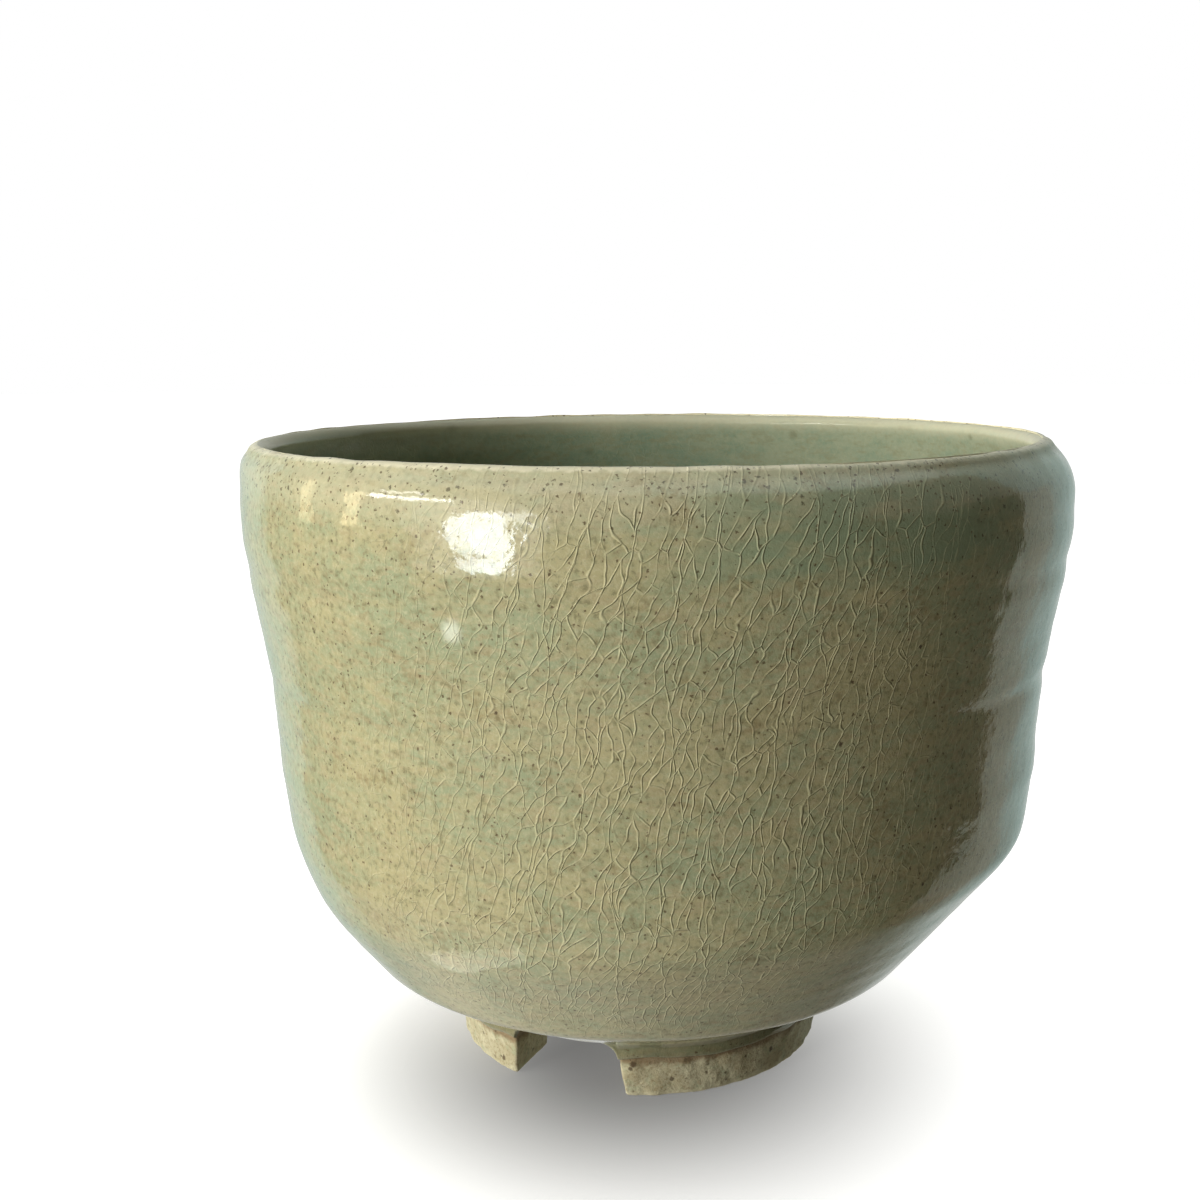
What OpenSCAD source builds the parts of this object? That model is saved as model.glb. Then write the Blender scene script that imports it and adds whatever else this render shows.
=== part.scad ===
// Hand-thrown matcha bowl (chawan) with a split foot ring.
// Origin: on the axis of the wall, in the plane that the foot stands on.
// +Z is up, and the two notches in the foot ring open towards -Y and +Y.

/* [Bowl] */
// Height from the table to the top of the lip
bowl_h = 91.3; // [88:0.1:95]
// Widest diameter, over the glaze at the shoulder
bowl_d = 120.3; // [117:0.1:124]
// Diameter of the crest of the lip
lip_d = 113; // [111:0.2:115]
// Thickness of the lip over its glaze
lip_t = 3.2; // [2.6:0.1:4]
// Height of the inside floor above the table
floor_h = 15; // [14:0.5:17]

/* [Wall] */
// Thickness of the glazed wall at mid height
wall_t = 4.5; // [4:0.1:6]
// Thickness of each coat of glaze
glaze_t = 0.6; // [0.4:0.1:0.8]

/* [Trimming] */
// Distance from the wall's axis to the axis that the underside and foot were trimmed on
trim_shift = 2.5; // [0:0.1:3]
// Direction of that shift, in degrees anticlockwise from +X
trim_shift_a = 205; // [0:5:355]
// Radius of the knee between the trimmed cone and the flatter underside
knee_r = 40.6; // [39.6:0.1:42.6]
// Height of that knee above the table
knee_h = 15.5; // [14.5:0.1:17]
// Slope of the trimmed cone, from the horizontal, in degrees
cone_slope = 51; // [47:1:55]

/* [Foot ring] */
// Outer diameter of the foot ring at the table
foot_d = 54.4; // [50:0.2:56]
// Width of the foot ring at the table
foot_w = 9.5; // [8:0.1:10.5]
// Height at which the outside of the foot turns into the underside
foot_h = 9.2; // [9.2:0.1:9.8]
// Depth of the hollow inside the foot ring
recess_h = 8.5; // [7.5:0.1:8.5]
// Height at which the outer glaze ends on the side of the foot
glaze_end_h = 6; // [5:0.5:7.5]
// Width of each notch
notch_w = 16; // [10:0.5:18]
// Radius of the notch's upper corners
notch_corner_r = 2.8; // [1:0.1:4]

/* [Hidden] */

$fn = 128;
curve_steps = 4;
corner_steps = 5;
past = 1;

shoulder_r = bowl_d / 2;
foot_r = foot_d / 2;
recess_r = foot_r - foot_w;
recess_taper = 0.6;
recess_fillet = 2.4;
foot_flare = 1.2;
foot_fillet = 1.2;
foot_edge_r = 0.5;
knee_round = 6;

lip_r = lip_t / 2;
lip_centre = [lip_d / 2, bowl_h - lip_r];
lip_step = 8;
lip_outer_a = 26;
lip_inner_a = 170;

// Outside of the thrown wall: share of the shoulder radius, share of the height
OUTER_STATIONS = [
    [0.749, 0.175],
    [0.841, 0.263],
    [0.906, 0.372],
    [0.929, 0.482],
    [0.942, 0.613],
    [0.972, 0.745],
    [0.997, 0.854],
    [1.000, 0.904],
    [0.988, 0.964],
];

// Inside of the wall, from the lip down: extra thickness over wall_t, share of the height
INNER_STATIONS = [
    [-0.1, 0.950],
    [-0.1, 0.895],
    [-0.1, 0.830],
    [-0.1, 0.735],
    [0.0, 0.625],
    [0.4, 0.515],
    [1.0, 0.420],
    [2.2, 0.330],
];

// Inside of the floor, from the wall to the middle: radius, rise above floor_h
FLOOR_STATIONS = [
    [40.2, 9.0],
    [32.5, 4.6],
    [21.0, 1.3],
    [9.0, 0.0],
];

function spline_point(a, b, c, d, t) =
    b + t * ((c - a) + t * ((2 * a - 5 * b + 4 * c - d) + t * (3 * (b - c) + d - a))) / 2;

// Smooth curve through the points p, without its last point
function spline(p) =
    let (last = len(p) - 1)
    [for (i = [0 : last - 1], j = [0 : curve_steps - 1])
        spline_point(
            i == 0 ? 2 * p[0] - p[1] : p[i - 1],
            p[i],
            p[i + 1],
            i + 2 > last ? 2 * p[last] - p[last - 1] : p[i + 2],
            j / curve_steps)];

// Arc of radius r that rounds the corner b between a and c
function corner(a, b, c, r) =
    let (
        u = (a - b) / norm(a - b),
        v = (c - b) / norm(c - b),
        half = acos(u * v) / 2,
        centre = b + (u + v) / norm(u + v) * r / sin(half),
        from = b + u * r / tan(half) - centre,
        to = b + v * r / tan(half) - centre,
        turn = 180 - 2 * half)
    [for (i = [0 : corner_steps])
        let (t = i / corner_steps)
        centre + (sin((1 - t) * turn) * from + sin(t * turn) * to) / sin(turn)];

// The line p moved sideways by d, to the left of its direction of travel
function inset(p, d) =
    [for (i = [0 : len(p) - 1])
        let (t = p[min(i + 1, len(p) - 1)] - p[max(i - 1, 0)])
        p[i] + d * [-t[1], t[0]] / norm(t)];

function lip_point(a) = lip_centre + lip_r * [cos(a), sin(a)];

// Outside radius of the thrown wall at a share of the height
function wall_r(share) = shoulder_r * lookup(share, [for (s = OUTER_STATIONS) [s[1], s[0]]]);

outer_curve = spline(concat(
    [for (s = OUTER_STATIONS) [s[0] * shoulder_r, s[1] * bowl_h]],
    [lip_point(lip_outer_a)]));
lip_curve = [for (a = [lip_outer_a : lip_step : lip_inner_a - 1]) lip_point(a)];
inner_curve = spline(concat(
    [lip_point(lip_inner_a)],
    [for (s = INNER_STATIONS) [wall_r(s[1]) - wall_t - s[0], s[1] * bowl_h]],
    [for (s = FLOOR_STATIONS) [s[0], floor_h + s[1]]]));
section = concat(outer_curve, lip_curve, inner_curve);
crest = len(outer_curve) + (90 - lip_outer_a) / lip_step;

// The section's outside and inside, each meeting at the crest of the lip
function outside(d) = [for (i = [0 : crest]) inset(section, d)[i]];
function inside(d) = concat([for (i = [crest : len(section) - 1]) inset(section, d)[i]], [[0, floor_h - d]]);

// Outside of the trimmed clay, from the table up, about the trimming's axis
foot_edge = [foot_r, 0];
foot_neck = [foot_r + foot_flare, foot_h];
knee = [knee_r, knee_h];
cone_end = knee + (shoulder_r - knee_r + trim_shift + past) * [1, tan(cone_slope)];
trim_line = concat(
    [foot_edge],
    corner(foot_edge, foot_neck, knee, foot_fillet),
    corner(foot_neck, knee, cone_end, knee_round),
    [cone_end]);

// Moves its children from the wall's axis to the axis of the trimming
module on_trim_axis() {
    translate(trim_shift * [cos(trim_shift_a), sin(trim_shift_a), 0])
        children();
}

// Solid of the thrown wall, filled, with its surface d below the glaze
module thrown_form(d) {
    line = outside(d);
    rotate_extrude()
        polygon(concat([[0, 0], [line[0][0], 0]], line, [[0, line[crest][1]]]));
}

// Solid that the trimming leaves, above height z, with its surface d below the glaze
module trimmed_form(d, z) {
    line = inset(trim_line, d - glaze_t);
    end = line[len(line) - 1];
    on_trim_axis()
        intersection() {
            rotate_extrude()
                polygon(concat([[0, line[0][1]]], line, [[end[0], bowl_h + past], [0, bowl_h + past]]));
            translate([0, 0, z])
                cylinder(h = bowl_h, r = bowl_d);
        }
}

// The whole outside above height z, filled
module outer_form(d, z) {
    intersection() {
        thrown_form(d);
        trimmed_form(d, z);
    }
}

// Space inside the bowl, with its surface d below the glaze
module cavity(d) {
    line = inside(d);
    rotate_extrude()
        polygon(concat(line, [[0, bowl_h + past], [line[0][0], bowl_h + past]]));
}

module notch_outline() {
    half = notch_w / 2;
    flat = half - notch_corner_r;
    side_h = recess_h - notch_corner_r;
    translate([-half, -past])
        square([notch_w, side_h + past]);
    translate([-flat, -past])
        square([2 * flat, recess_h + past]);
    for (side = [-1, 1])
        translate([side * flat, side_h])
            circle(notch_corner_r);
}

// The straight cut across the foot ring that leaves a notch on each side
module notches() {
    on_trim_axis()
        rotate([90, 0, 0])
            linear_extrude(2 * knee_r, center = true)
                notch_outline();
}

// Foot ring before the notches are cut, up to the underside of the bowl
module foot_ring() {
    inner_edge = [recess_r, 0];
    inner_top = [recess_r - recess_taper, recess_h];
    side = (foot_neck - foot_edge) / foot_h;
    on_trim_axis()
        rotate_extrude()
            polygon(concat(
                [foot_edge + recess_h * side],
                corner(foot_neck, foot_edge, inner_edge, foot_edge_r),
                corner(foot_edge, inner_edge, inner_top, foot_edge_r),
                corner(inner_edge, inner_top, [0, recess_h], recess_fillet)));
}

// The half of the notched ring on one side: -1 is towards -X
module foot_segment(side) {
    intersection() {
        difference() {
            foot_ring();
            notches();
        }
        on_trim_axis()
            translate([side * shoulder_r, 0, recess_h / 2])
                cube([bowl_d, bowl_d, 2 * recess_h], center = true);
    }
}

module bowl_body() {
    color("#b9a583")
        difference() {
            outer_form(glaze_t, recess_h);
            cavity(glaze_t);
        }
}

module foot_left() {
    color("#a8977a")
        foot_segment(-1);
}

module foot_right() {
    color("#a8977a")
        foot_segment(1);
}

module outer_glaze() {
    color("#a9aa84")
        difference() {
            outer_form(0, glaze_end_h);
            outer_form(glaze_t, glaze_end_h - past);
            translate([0, 0, lip_centre[1]])
                cylinder(h = lip_t, d = lip_d);
            notches();
        }
}

module inner_glaze() {
    inner = inside(0);
    outer = inside(glaze_t);
    last = len(outer) - 1;
    color("#8d9c86")
        rotate_extrude()
            polygon(concat(inner, [for (i = [0 : last]) outer[last - i]]));
}

bowl_body();
foot_left();
foot_right();
outer_glaze();
inner_glaze();
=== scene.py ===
"""Matcha bowl in crackled celadon: visual model, floor, light and camera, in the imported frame.

Lengths are in millimetres until a mesh is made, and heights are above the table. Each CAD solid is
replaced by a mesh of the same shape that also has the ridges, dents and uneven edges of hand work.
"""

import math

import bmesh
import bpy
import numpy as np
from mathutils import Matrix, Vector


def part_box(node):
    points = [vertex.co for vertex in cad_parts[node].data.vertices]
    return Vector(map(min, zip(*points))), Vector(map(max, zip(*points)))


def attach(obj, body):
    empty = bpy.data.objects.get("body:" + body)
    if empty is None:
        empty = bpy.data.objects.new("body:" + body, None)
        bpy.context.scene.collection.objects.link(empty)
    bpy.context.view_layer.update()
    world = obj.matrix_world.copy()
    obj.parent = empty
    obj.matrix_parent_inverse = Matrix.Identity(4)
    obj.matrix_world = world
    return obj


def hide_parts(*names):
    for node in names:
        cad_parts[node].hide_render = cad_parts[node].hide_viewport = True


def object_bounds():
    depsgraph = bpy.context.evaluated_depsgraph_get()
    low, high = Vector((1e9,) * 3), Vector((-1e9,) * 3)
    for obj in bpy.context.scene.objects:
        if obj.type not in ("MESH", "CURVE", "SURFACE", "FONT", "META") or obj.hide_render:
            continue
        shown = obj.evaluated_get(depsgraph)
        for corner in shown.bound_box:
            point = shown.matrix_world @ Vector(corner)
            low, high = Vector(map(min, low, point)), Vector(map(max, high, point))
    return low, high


MM = 0.001
FULL_TURN = 2 * math.pi

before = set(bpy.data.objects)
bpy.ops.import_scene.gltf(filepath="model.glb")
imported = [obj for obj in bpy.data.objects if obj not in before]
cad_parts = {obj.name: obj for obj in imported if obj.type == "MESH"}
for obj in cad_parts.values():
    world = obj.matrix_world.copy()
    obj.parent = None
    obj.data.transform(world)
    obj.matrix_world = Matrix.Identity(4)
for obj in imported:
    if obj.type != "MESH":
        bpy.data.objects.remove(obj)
cad_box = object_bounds()
top_z = cad_box[1].z / MM
shoulder_r = (cad_box[1].y - cad_box[0].y) / 2 / MM
foot_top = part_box("foot_left")[1].z / MM

# ---------------------------------------------------------------- directions

# The camera stands at -Y, turned by this much about the bowl's axis
VIEW_A = math.radians(22)


def seen_at(degrees):
    """Direction from the bowl's axis, so many degrees to the camera's right of the camera."""
    return VIEW_A + math.radians(degrees - 90)


FAINT_A = seen_at(-48)
RIGHT_A = seen_at(75)
# Place of the painted highlight on the shoulder: direction from the axis, radius and height
GLINT_A, GLINT_R, GLINT_Z = seen_at(-23.5), 59.2, 72.2

# ---------------------------------------------------------------- profiles

GLAZE_T = 0.6
WALL_T = 4.5
FLOOR_Z = 15.0
LIP_R = 1.6
LIP_CREST_R = 56.5
LIP_OUTER_A = 26
LIP_INNER_A = 170
LIP_STEPS = 60

TRIM_A = math.radians(205)
TRIM_SHIFT = 2.5 * np.array([math.cos(TRIM_A), math.sin(TRIM_A)])
KNEE = (40.6, 15.5)
KNEE_ROUND = 6
CONE_SLOPE = math.radians(51)
CONE_RUN = 24
CONE_END = (KNEE[0] + CONE_RUN, KNEE[1] + CONE_RUN * math.tan(CONE_SLOPE))
TRIM_POINTS = 900

FOOT_OUT_R = 27.2
FOOT_IN_R = 17.7
NECK = (28.4, 9.2)
NECK_ROUND = 1.2
GLAZE_END = 6.0
NOTCH_HALF = 8.0
NOTCH_ROUND = 2.8

# Outside of the thrown wall: share of the shoulder radius, share of the height
OUTER_STATIONS = [
    (0.749, 0.175), (0.841, 0.263), (0.906, 0.372), (0.929, 0.482), (0.942, 0.613),
    (0.972, 0.745), (0.997, 0.854), (1.000, 0.904), (0.988, 0.964),
]
# Inside of the wall, from the lip down: extra thickness over WALL_T, share of the height
INNER_STATIONS = [
    (-0.1, 0.950), (-0.1, 0.895), (-0.1, 0.830), (-0.1, 0.735),
    (0.0, 0.625), (0.4, 0.515), (1.0, 0.420), (2.2, 0.330),
]
# Inside of the floor, from the wall to the middle: radius, rise above FLOOR_Z
FLOOR_STATIONS = [(40.2, 9.0), (32.5, 4.6), (21.0, 1.3), (9.0, 0.0)]


def spline(points, steps=24):
    """Catmull-Rom curve through the points, with its last point."""
    p = np.array(points, float)
    p = np.vstack([2 * p[0] - p[1], p, 2 * p[-1] - p[-2]])
    t = np.linspace(0, 1, steps, endpoint=False)[:, None]
    runs = []
    for a, b, c, d in zip(p, p[1:], p[2:], p[3:]):
        runs.append(b + t * ((c - a) + t * ((2 * a - 5 * b + 4 * c - d) + t * (3 * (b - c) + d - a))) / 2)
    return np.vstack(runs + [p[-2:-1]])


def corner(a, b, c, r, steps=16):
    """Arc of radius r that rounds the corner b between a and c."""
    a, b, c = (np.array(q, float) for q in (a, b, c))
    u = (a - b) / np.linalg.norm(a - b)
    v = (c - b) / np.linalg.norm(c - b)
    half = math.acos(float(u @ v)) / 2
    centre = b + (u + v) / np.linalg.norm(u + v) * r / math.sin(half)
    start = b + u * r / math.tan(half) - centre
    end = b + v * r / math.tan(half) - centre
    turn = math.pi - 2 * half
    t = np.linspace(0, 1, steps)[:, None]
    return centre + (np.sin((1 - t) * turn) * start + np.sin(t * turn) * end) / math.sin(turn)


def inset(p, d):
    """The line p moved by d to the left of its direction of travel."""
    t = np.gradient(p, axis=0)
    t /= np.linalg.norm(t, axis=1)[:, None]
    return p + d * np.stack([-t[:, 1], t[:, 0]], 1)


def distances(p):
    """Distance of each point of the line p from its start, along it."""
    return np.concatenate([[0], np.cumsum(np.linalg.norm(np.diff(p, axis=0), axis=1))])


def points_at(p, s, where):
    """Points of the line p at the distances where; s holds the distances of its own points."""
    return np.stack([np.interp(where, s, p[:, k]) for k in range(p.shape[1])], 1)


def resample(p, n):
    """The line p as n evenly spaced points."""
    s = distances(p)
    return points_at(p, s, np.linspace(0, s[-1], n))


def smoothstep(lo, hi, x):
    """0 below lo, 1 above hi and a smooth rise between; lo above hi turns it round."""
    t = np.clip((x - lo) / (hi - lo), 0, 1)
    return t * t * (3 - 2 * t)


def lip_arc(a0, a1, steps):
    """Points of the lip's round section between two angles in degrees."""
    centre = np.array([LIP_CREST_R, top_z - LIP_R])
    a = np.radians(np.linspace(a0, a1, steps))[:, None]
    return centre + LIP_R * np.hstack([np.cos(a), np.sin(a)])


def lip_point(a):
    return lip_arc(a, a, 1)[0]


outer_points = [(r * shoulder_r, z * top_z) for r, z in OUTER_STATIONS]
thrown_line = np.vstack([
    spline(outer_points + [lip_point(LIP_OUTER_A)])[:-1],
    lip_arc(LIP_OUTER_A, 90, LIP_STEPS),
])
wall_r, wall_z = np.array(outer_points).T
inner_points = [lip_point(LIP_INNER_A)]
inner_points += [
    (np.interp(z * top_z, wall_z, wall_r) - WALL_T - extra, z * top_z) for extra, z in INNER_STATIONS
]
inner_points += [(r, FLOOR_Z + rise) for r, rise in FLOOR_STATIONS]
inner_points += [(0.0, FLOOR_Z)]
inner_line = np.vstack([lip_arc(90, LIP_INNER_A, LIP_STEPS)[:-1], spline(inner_points)])

trim_clay = resample(np.vstack([
    [(FOOT_OUT_R, 0.0)],
    corner((FOOT_OUT_R, 0), NECK, KNEE, NECK_ROUND),
    corner(NECK, KNEE, CONE_END, KNEE_ROUND),
    [CONE_END],
]), TRIM_POINTS)
trim_glazed = inset(trim_clay, -GLAZE_T)

# ---------------------------------------------------------------- hand-made irregularity


def wobble(n_max, m_scale, count, seed, m_min=0.0):
    """Smooth random surface over angle and height, about -1 to 1, that closes on itself in angle."""
    r = np.random.default_rng(seed)
    n = r.integers(0, n_max + 1, count)
    m = r.uniform(m_min, 1, count) * m_scale * r.choice([-1, 1], count)
    phase = r.uniform(0, FULL_TURN, count)
    size = r.uniform(0.5, 1, count)
    size /= math.sqrt((size**2).sum() / 2) * 1.6

    def value(theta, z):
        out = np.zeros(np.broadcast(theta, z).shape)
        for k in range(count):
            out += size[k] * np.cos(n[k] * theta + m[k] * z + phase[k])
        return out

    return value


slow = wobble(4, 0.05, 10, 1)
lumps = wobble(14, 0.35, 40, 2)
dimple = wobble(45, 0.9, 70, 3, 0.2)
finger = wobble(3, 0.02, 8, 4)
grain = wobble(9, 2.6, 60, 5, 0.45)
edge_wave = wobble(26, 0.0, 30, 6)

# How far each irregularity stands out
LUMPS = 0.08
DIMPLES = 0.010
GRAIN = 0.012
OUT_OF_ROUND = 0.22
CREST_LUMPS = 0.05
SPIRAL = 0.16
SPIRAL_PITCH = 7.5

# Throwing ridges and grooves on the outside: height, half width, how far it stands out
RIDGES = [
    (87.3, 0.9, -0.05), (83.8, 2.4, 0.09), (79.5, 1.2, -0.07), (76.4, 1.8, 0.05), (72.9, 1.3, -0.09),
    (70.2, 1.6, 0.09), (63.0, 2.4, -0.06), (56.8, 1.3, -0.12), (53.6, 1.9, 0.08), (50.2, 1.9, 0.03),
    (47.6, 1.8, -0.06), (43.2, 1.8, 0.06), (38.5, 2.0, -0.05), (33.5, 1.8, 0.04),
]
# Ridges climb and fall round the bowl by this much about this rise, with the low point at this angle
RIDGE_RISE = 1.7
RIDGE_SWAY = 0.5
RIDGE_SWAY_A = 5.1

# Single bumps and dents: degrees to the right of the camera, height, reach along, reach up, how far out
MARKS = [
    (-23.5, 72.2, 2.0, 1.8, 0.10), (-28.5, 74.6, 0.9, 0.9, 0.16),
    (48, 78.0, 0.8, 0.8, 0.10), (46, 69.0, 0.8, 0.8, 0.08),
    (55, 58.9, 7.0, 0.9, -0.13), (62, 66.5, 9.0, 3.0, -0.16),
    (57, 55.0, 6.0, 2.6, 0.12), (58, 47.0, 7.0, 1.6, -0.07),
]


def throwing(theta, z):
    """How far the throwing ridges stand out."""
    rise = RIDGE_RISE + RIDGE_SWAY * np.sin(theta - RIDGE_SWAY_A)
    out = np.zeros(np.broadcast(theta, z).shape)
    for z0, half, h in RIDGES:
        out += h * np.exp(-(((z - z0 - rise) / half) ** 2))
    return out * (0.75 + 0.5 * finger(theta, z))


def marks(theta, z):
    """How far the single bumps and dents stand out."""
    out = np.zeros(np.broadcast(theta, z).shape)
    for a, z0, along, up, h in MARKS:
        gap = np.mod(theta - seen_at(a) + math.pi, FULL_TURN) - math.pi
        out += h * np.exp(-((gap * shoulder_r / along) ** 2) - ((z - z0) / up) ** 2)
    return out


def outside_offset(theta, z):
    """How far the glazed outside stands off its true surface."""
    wall = smoothstep(9, 22, z) * (1 - smoothstep(88.0, 90.6, z))
    rough = LUMPS * lumps(theta, z) + DIMPLES * dimple(theta, z) + GRAIN * grain(theta, z)
    out = wall * (throwing(theta, z) + rough)
    out += CREST_LUMPS * lumps(3 * theta, z) * smoothstep(87, 90, z)
    out += marks(theta, z)
    return out + OUT_OF_ROUND * slow(theta, z) * smoothstep(20, 60, z)


LIP_SHIFT = -0.92


def lip_shift(z):
    """The lip's ring sits a little to the camera's left of the wall."""
    s = LIP_SHIFT * smoothstep(84.5, 91, z)
    return s[..., None] * np.array([math.cos(VIEW_A), math.sin(VIEW_A)])


# ---------------------------------------------------------------- the glazed outside as a grid

# Below UNDER_Z the outside is trimmed clay alone, and above WALL_Z it is the thrown wall alone
UNDER_Z = 16.0
WALL_Z = 42.0
UNDER_STEPS = 420
CONE_STEPS = 380
WALL_STEPS = 700
# Width over which the trimmed cone and the thrown wall run into each other
CONE_BLEND = 1.2
# Length of the outside from the glaze's lower edge to the crest of the lip
OUTSIDE_LENGTH = 116.0
# How much closer together the columns are at the notches
CROWDING = 0.13
# How far the glaze's lower edge wavers, and where it crosses the foot as a share of the ring's radius
EDGE_WAVE = 0.35
EDGE_R = 1.04
# Stands for a circle that the trimming never meets
OUT_OF_REACH = 1e3


def column_angles(n):
    """Angles of n columns, closer together at the notches."""
    u = np.linspace(0, FULL_TURN, n, endpoint=False)
    return u + CROWDING * np.sin(2 * u)


def hit(centre, axis, radius, u):
    """Distance from centre along u to the circle of that radius about axis."""
    w = centre - axis
    along = (w * u).sum(-1)
    return -along + np.sqrt(np.maximum(radius**2 - (w * w).sum(-1) + along**2, 0))


def smooth_min(a, b, k):
    """The smaller of a and b, with a smooth change over k."""
    h = np.clip(0.5 + 0.5 * (b - a) / k, 0, 1)
    return b + (a - b) * h - k * h * (1 - h)


def glaze_edge_z(theta):
    """Lowest glaze round the foot: the run-down edge, lifted over the two notches."""
    edge = GLAZE_END + EDGE_WAVE * edge_wave(theta, 0)
    across = np.abs(FOOT_OUT_R * EDGE_R * np.cos(theta))
    past_flat = np.maximum(across - (NOTCH_HALF - NOTCH_ROUND), 0)
    arch = foot_top - NOTCH_ROUND + np.sqrt(np.maximum(NOTCH_ROUND**2 - past_flat**2, 0))
    return np.where(across < NOTCH_HALF, np.maximum(edge, arch), edge)


def outside_grid(theta, spacing):
    """Points of the glazed outside: one column per angle, from the glaze's lower edge to the lip's crest."""
    wall = resample(thrown_line[thrown_line[:, 1] > WALL_Z], WALL_STEPS)
    cols = []
    for angle, edge in zip(theta, glaze_edge_z(theta)):
        u = np.array([math.cos(angle), math.sin(angle)])
        z = np.concatenate([
            np.linspace(edge, UNDER_Z, UNDER_STEPS),
            np.linspace(UNDER_Z + 0.05, WALL_Z, CONE_STEPS),
        ])
        centre = (1 - smoothstep(15, 36, z))[:, None] * TRIM_SHIFT
        thrown = hit(centre, np.zeros(2), np.interp(z, thrown_line[:, 1], thrown_line[:, 0]), u)
        thrown = np.where(z < UNDER_Z, OUT_OF_REACH, thrown)
        trimmed = hit(centre, TRIM_SHIFT, np.interp(z, trim_glazed[:, 1], trim_glazed[:, 0]), u)
        rho = np.concatenate([smooth_min(thrown, trimmed, CONE_BLEND), wall[:, 0]])
        centre = np.vstack([centre, np.zeros((len(wall), 2))])
        line = np.column_stack([centre + rho[:, None] * u, np.concatenate([z, wall[:, 1]])])
        s = distances(line)
        cols.append(points_at(line, s, spacing * s[-1]))
    return np.stack(cols, 1)


def normals_of(grid):
    """Outward unit normals of a grid of rows and closed columns."""
    du = np.roll(grid, -1, 1) - np.roll(grid, 1, 1)
    dv = np.gradient(grid, axis=0)
    n = np.cross(du, dv)
    return n / (np.linalg.norm(n, axis=2)[..., None] + 1e-12)


def row_spacing(length, zones, total):
    """Shares of the way along a line, from zones of (distance, step)."""
    d, step = np.array(zones).T
    s = np.linspace(0, length, 4000)
    density = 1 / np.interp(s, d, step)
    c = np.concatenate([[0], np.cumsum((density[1:] + density[:-1]) / 2)])
    return np.interp(np.linspace(0, c[-1], total), c, s) / length


def every(first, last, n):
    """n row numbers, evenly spread from first to last."""
    return np.linspace(first, last, n).round().astype(int)


def polar(r, theta, z):
    """Grid of points at radii r and heights z, one row each, round the bowl's axis."""
    return np.stack([r * np.cos(theta), r * np.sin(theta), z + 0 * theta], -1)


# ---------------------------------------------------------------- meshes

# Edges between faces that meet at more than this many degrees look sharp
SHARP_A = 40


def strip_faces(rows, cols, first=0):
    """Faces between neighbouring rings of points; each ring is closed."""
    i, j = np.meshgrid(np.arange(rows - 1), np.arange(cols), indexing="ij")
    near, far = i * cols, (i + 1) * cols
    after = (j + 1) % cols
    return (np.stack([near + j, near + after, far + after, far + j], -1).reshape(-1, 4) + first).tolist()


def join_faces(ring_a, ring_b, cols):
    """Faces between two rings that aren't neighbours, given by their first points."""
    j = np.arange(cols)
    after = (j + 1) % cols
    return np.stack([ring_a + j, ring_a + after, ring_b + after, ring_b + j], -1).tolist()


def fan(ring_first, cols, pole, flip):
    """Triangles from a ring of points to a single one."""
    j = np.arange(cols)
    a, b = ring_first + j, ring_first + (j + 1) % cols
    return [(pole, y, x) if flip else (pole, x, y) for x, y in zip(a.tolist(), b.tolist())]


def turn_outward(mesh):
    """Makes every face look out of the solid."""
    bm = bmesh.new()
    bm.from_mesh(mesh)
    bmesh.ops.recalc_face_normals(bm, faces=bm.faces)
    bm.to_mesh(mesh)
    bm.free()


def piece(name, points, faces, look, node):
    """A piece of the bowl from points in millimetres, which stands for a CAD node."""
    mesh = bpy.data.meshes.new(name)
    mesh.from_pydata((np.asarray(points) * MM).tolist(), [], [tuple(f) for f in faces])
    mesh.materials.append(look)
    mesh.validate()
    mesh.shade_smooth()
    mesh.set_sharp_from_angle(angle=math.radians(SHARP_A))
    turn_outward(mesh)
    obj = bpy.data.objects.new(name, mesh)
    bpy.context.scene.collection.objects.link(obj)
    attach(obj, "root")
    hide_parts(node)


def capped_piece(name, rows, first_pole, last_pole, look, node):
    """A piece from rings of points, closed by a fan at each end."""
    count, cols = rows.shape[:2]
    points = np.vstack([rows.reshape(-1, 3), [first_pole], [last_pole]])
    faces = strip_faces(count, cols)
    faces += fan(0, cols, count * cols, False)
    faces += fan((count - 1) * cols, cols, count * cols + 1, True)
    piece(name, points, faces, look, node)

# ---------------------------------------------------------------- node helpers


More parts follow.
